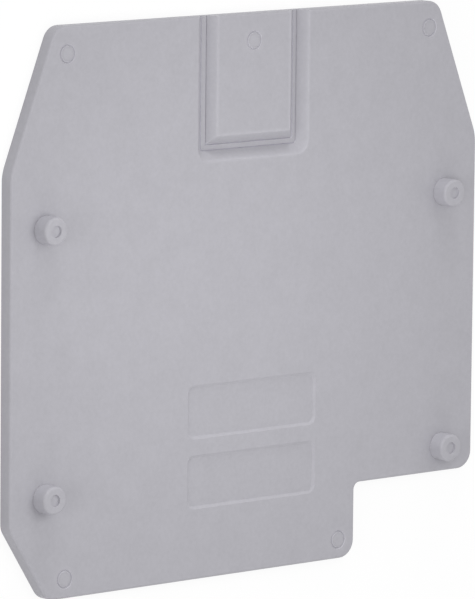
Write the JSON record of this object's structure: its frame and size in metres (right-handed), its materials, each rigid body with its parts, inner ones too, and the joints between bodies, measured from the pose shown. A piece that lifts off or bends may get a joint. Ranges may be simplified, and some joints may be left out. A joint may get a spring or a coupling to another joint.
{
  "type": "separator plate",
  "caption": "Thin moulded plate that closes and separates rail-mounted cable terminals, with locating pegs on its front and a stepped lower corner.",
  "frame": {"origin": "below the middle of the plate, on the surface that its back lies on", "axes": "+X along the width, +Y along the height towards the edge with the pad, +Z out of the front face that carries the pegs"},
  "size_m": [0.0646, 0.06, 0.0033],
  "materials": {
    "grey_polyamide": "dull bluish grey moulded polyamide with a fine, slightly uneven surface"
  },
  "bodies": {
    "root": {"separator_plate": "grey_polyamide"}
  },
  "joints": []
}
